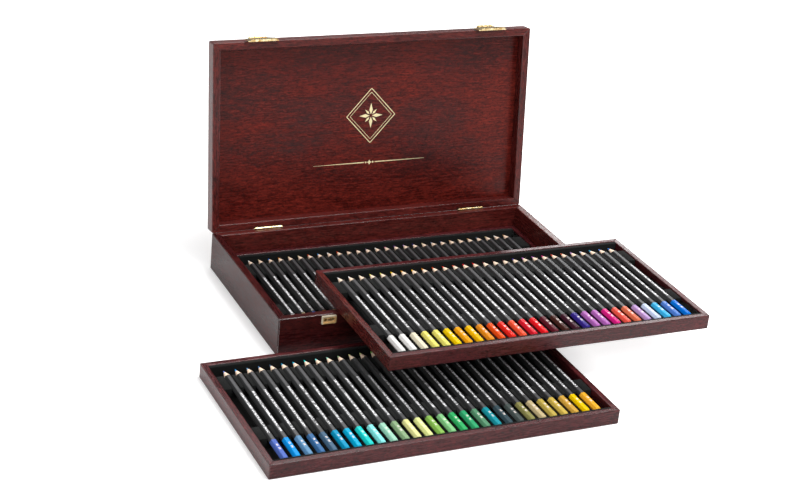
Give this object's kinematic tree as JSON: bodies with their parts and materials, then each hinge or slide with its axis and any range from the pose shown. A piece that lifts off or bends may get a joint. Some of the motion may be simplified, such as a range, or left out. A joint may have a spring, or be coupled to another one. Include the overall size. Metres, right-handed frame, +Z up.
{
  "type": "pencil case",
  "caption": "Wooden presentation case for coloured pencils: a hinged, latched case with lift-out slotted trays, each holding a row of sharpened hexagonal pencils.",
  "frame": {"origin": "middle of the case's underside, on the surface it stands on", "axes": "+X to the right along the front wall, +Y to the hinges at the back, +Z up"},
  "size_m": [0.5439, 0.49, 0.2695],
  "materials": {
    "mahogany_case": "dark mahogany stain under satin lacquer",
    "mahogany_panel": "mahogany veneer, stained, satin lacquer, gold line ornament",
    "mahogany_tray": "dark mahogany stain under satin lacquer",
    "black_flock": "black flocked moulded liner",
    "brass_fittings": "polished",
    "black_lacquer": "semi-matt charcoal lacquer, dipped coloured end, bare cedar cone",
    "coloured_lead": "waxy coloured lead, each pencil its own colour"
  },
  "bodies": {
    "case": {"case_front": "mahogany_case", "case_back": "mahogany_case", "case_left": "mahogany_case", "case_right": "mahogany_case", "case_floor": "mahogany_case", "hinge_leaves_case": "brass_fittings", "hinge_pins": "brass_fittings", "hinge_screws_case": "brass_fittings", "catches": "brass_fittings", "catch_screws": "brass_fittings"},
    "lid": {"lid_front": "mahogany_case", "lid_back": "mahogany_case", "lid_left": "mahogany_case", "lid_right": "mahogany_case", "lid_panel": "mahogany_panel", "hinge_leaves_lid": "brass_fittings", "hinge_screws_lid": "brass_fittings", "latch_plates": "brass_fittings", "latch_pins": "brass_fittings", "latch_screws": "brass_fittings"},
    "latch_left": {"latch_lever_left": "brass_fittings"},
    "latch_right": {"latch_lever_right": "brass_fittings"},
    "lower_tray": {"lower_tray_front": "mahogany_tray", "lower_tray_back": "mahogany_tray", "lower_tray_left": "mahogany_tray", "lower_tray_right": "mahogany_tray", "lower_tray_base": "mahogany_tray", "lower_tray_liner": "black_flock", "lower_tray_front_comb": "black_flock", "lower_tray_rear_comb": "black_flock"},
    "lower_pencils": {"lower_pencil_casings": "black_lacquer", "lower_pencil_leads": "coloured_lead"},
    "upper_tray": {"upper_tray_front": "mahogany_tray", "upper_tray_back": "mahogany_tray", "upper_tray_left": "mahogany_tray", "upper_tray_right": "mahogany_tray", "upper_tray_base": "mahogany_tray", "upper_tray_liner": "black_flock", "upper_tray_front_comb": "black_flock", "upper_tray_rear_comb": "black_flock"},
    "upper_pencils": {"upper_pencil_casings": "black_lacquer", "upper_pencil_leads": "coloured_lead"},
    "front_tray": {"front_tray_front": "mahogany_tray", "front_tray_back": "mahogany_tray", "front_tray_left": "mahogany_tray", "front_tray_right": "mahogany_tray", "front_tray_base": "mahogany_tray", "front_tray_liner": "black_flock", "front_tray_front_comb": "black_flock", "front_tray_rear_comb": "black_flock"},
    "front_pencils": {"front_pencil_casings": "black_lacquer", "front_pencil_leads": "coloured_lead"}
  },
  "joints": [
    {"name": "lid_hinge", "type": "hinge", "parent": "case", "child": "lid", "pos_m": [0, 0.1104, 0.04415], "axis": [1, 0, 0], "range_deg": [0, 97.5]},
    {"name": "upper_tray_slide", "type": "slide", "parent": "case", "child": "upper_tray", "axis": [0, -1, 0], "range_m": [0, 0.12]},
    {"name": "latch_left_swing", "type": "hinge", "parent": "lid", "child": "latch_left", "pos_m": [-0.1445, 0.15094, 0.26434], "axis": [-1, 0, 0], "range_deg": [0, 95]},
    {"name": "latch_right_swing", "type": "hinge", "parent": "lid", "child": "latch_right", "pos_m": [0.1445, 0.15094, 0.26434], "axis": [-1, 0, 0], "range_deg": [0, 95]},
    {"name": "front_tray_slide", "type": "slide", "parent": "case", "child": "front_tray", "axis": [0, -1, 0], "range_m": [0, 0.15]},
    {"name": "lower_tray_lift", "type": "slide", "parent": "case", "child": "lower_tray", "axis": [0, 0, 1], "range_m": [0, 0.012]},
    {"name": "upper_pencils_lift", "type": "slide", "parent": "upper_tray", "child": "upper_pencils", "axis": [0, 0, 1], "range_m": [0, 0.04]},
    {"name": "front_pencils_lift", "type": "slide", "parent": "front_tray", "child": "front_pencils", "axis": [0, 0, 1], "range_m": [0, 0.02]},
    {"name": "lower_pencils_lift", "type": "slide", "parent": "lower_tray", "child": "lower_pencils", "axis": [0, 0, 1], "range_m": [0, 0.01]}
  ],
  "couplings": [
    {"joint": "upper_tray_slide", "follows": "lid_hinge", "m_per_rad": 0.0705}
  ]
}
